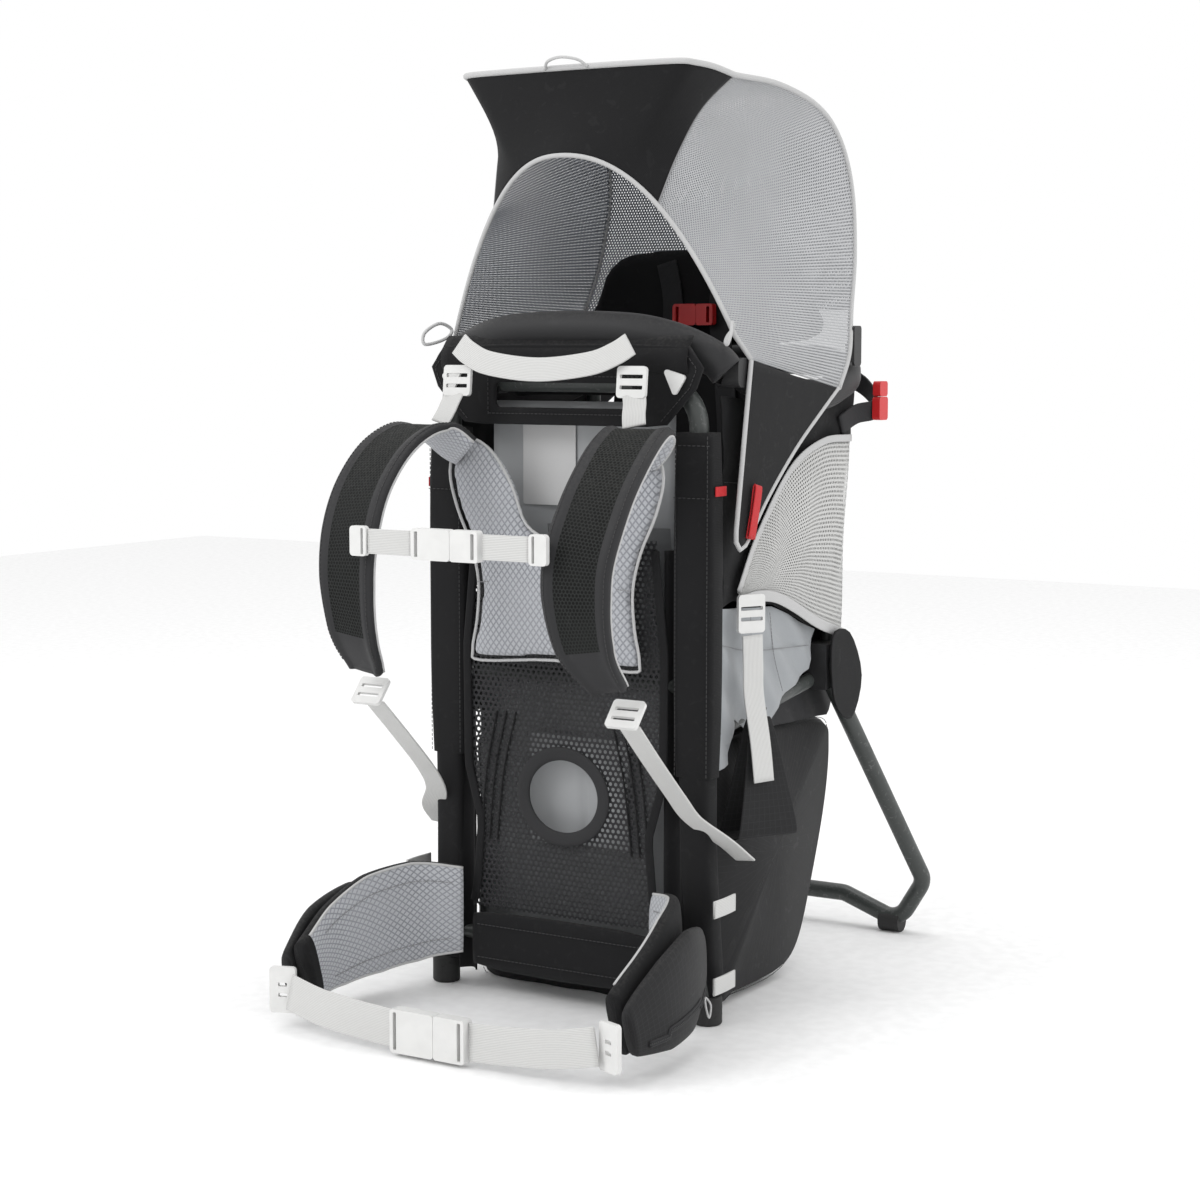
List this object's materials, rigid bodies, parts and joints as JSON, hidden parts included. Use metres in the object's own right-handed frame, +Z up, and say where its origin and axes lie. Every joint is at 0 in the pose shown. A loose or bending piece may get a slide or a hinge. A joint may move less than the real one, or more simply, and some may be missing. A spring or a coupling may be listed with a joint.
{
  "type": "child carrier backpack",
  "caption": "Framed child carrier backpack with a padded harness and waist belt, child cockpit, fold-out kickstand and tilting sunshade.",
  "frame": {"origin": "on the floor, at the centre of the carrier's footprint box, with the kickstand open", "axes": "+X to the wearer's left as seen facing the back panel (right in a front view), +Y away from the wearer towards the kickstand, +Z up"},
  "size_m": [0.4484, 0.74, 0.981],
  "materials": {
    "painted_tube": "painted matt dark green-grey",
    "black_fabric": "fine ripstop weave",
    "charcoal_sleeve": "smooth padded sleeve",
    "black_mesh": "open hexagonal mesh",
    "grey_lining": "embossed lattice lining",
    "grey_satin": "smooth satin lining",
    "grey_mesh": "fine stretch mesh",
    "webbing": "ribbed webbing",
    "light_plastic": "satin moulded",
    "black_plastic": "satin moulded",
    "red_plastic": "glossy moulded",
    "rubber": "matt",
    "steel": "brushed"
  },
  "bodies": {
    "frame": {"frame_tube": "painted_tube", "cockpit_tubes": "painted_tube", "side_stays": "painted_tube", "frame_brackets": "black_plastic", "frame_feet": "rubber", "top_bar_pad": "charcoal_sleeve", "cockpit_rim_pad": "charcoal_sleeve", "column_sleeves": "black_fabric", "face_panel": "black_fabric", "back_mesh_panel": "black_mesh", "porthole_ring": "black_fabric", "lumbar_band": "black_fabric", "cockpit_walls": "black_fabric", "mesh_pockets": "grey_mesh", "seat_liner": "grey_satin", "lower_bag": "black_fabric", "rear_pocket": "black_fabric", "backrest_pad": "black_fabric", "headrest_pad": "black_fabric", "drool_pad": "black_fabric", "child_straps": "black_fabric", "child_buckle_socket": "red_plastic", "corner_buckle_sockets": "red_plastic", "hip_wings": "grey_lining", "hip_pockets": "black_fabric", "belt_locks": "light_plastic", "belt_webbing": "webbing", "waist_buckle_socket": "light_plastic", "stabiliser_clips": "webbing", "grab_handle": "webbing", "load_lifter_locks": "light_plastic", "load_lifter_webbing": "webbing", "kickstand_brackets": "black_plastic", "kickstand_pins": "steel", "kickstand_flaps": "black_fabric", "stirrup_locks": "light_plastic", "stirrup_webbing": "webbing", "shade_sockets": "black_plastic"},
    "kickstand": {"kickstand_tube": "painted_tube", "kickstand_feet": "rubber"},
    "sunshade": {"shade_canopy": "grey_mesh", "shade_wire": "steel", "shade_tongues": "black_fabric", "shade_pull_tabs": "red_plastic"},
    "seat": {"seat_pad": "black_fabric"},
    "harness": {"yoke_pad": "grey_lining", "yoke_plate": "black_plastic", "shoulder_straps": "black_mesh", "shoulder_locks": "light_plastic", "shoulder_webbing": "webbing"},
    "chest_strap": {"chest_sliders": "light_plastic", "chest_webbing": "webbing", "chest_buckle_socket": "light_plastic"},
    "chest_plug": {"chest_buckle_plug": "light_plastic"},
    "waist_plug": {"waist_buckle_plug": "light_plastic"},
    "child_plug": {"child_buckle_plug": "red_plastic"},
    "corner_plug_left": {"corner_buckle_plug_left": "red_plastic"},
    "corner_plug_right": {"corner_buckle_plug_right": "red_plastic"},
    "stirrup_left": {"stirrup_loop_left": "black_fabric"},
    "stirrup_right": {"stirrup_loop_right": "black_fabric"}
  },
  "joints": [
    {"name": "kickstand_fold", "type": "hinge", "parent": "frame", "child": "kickstand", "pos_m": [0, 0.168, 0.338], "axis": [-1, 0, 0], "range_deg": [0, 34]},
    {"name": "shade_tilt", "type": "hinge", "parent": "frame", "child": "sunshade", "pos_m": [0, 0.192, 0.712], "axis": [-1, 0, 0], "range_deg": [0, 60]},
    {"name": "seat_height", "type": "slide", "parent": "frame", "child": "seat", "axis": [0, 0, 1], "range_m": [-0.02, 0.05]},
    {"name": "harness_height", "type": "slide", "parent": "frame", "child": "harness", "axis": [0, 0, 1], "range_m": [-0.06, 0]},
    {"name": "chest_strap_height", "type": "slide", "parent": "harness", "child": "chest_strap", "axis": [0, 0.36, 0.933], "range_m": [-0.015, 0.015]},
    {"name": "chest_release", "type": "slide", "parent": "chest_strap", "child": "chest_plug", "axis": [1, 0, 0], "range_m": [0, 0.022]},
    {"name": "waist_release", "type": "slide", "parent": "frame", "child": "waist_plug", "axis": [1, 0, 0], "range_m": [0, 0.028]},
    {"name": "child_release", "type": "slide", "parent": "frame", "child": "child_plug", "axis": [1, 0, 0], "range_m": [0, 0.018]},
    {"name": "corner_release_left", "type": "slide", "parent": "frame", "child": "corner_plug_left", "axis": [0, 0, 1], "range_m": [0, 0.016]},
    {"name": "corner_release_right", "type": "slide", "parent": "frame", "child": "corner_plug_right", "axis": [0, 0, 1], "range_m": [0, 0.016]},
    {"name": "stirrup_swing_left", "type": "hinge", "parent": "frame", "child": "stirrup_left", "pos_m": [-0.19, -0.041, 0.308], "axis": [1, 0, 0], "range_deg": [-9, 15]},
    {"name": "stirrup_swing_right", "type": "hinge", "parent": "frame", "child": "stirrup_right", "pos_m": [0.19, -0.041, 0.308], "axis": [1, 0, 0], "range_deg": [-9, 15]}
  ]
}
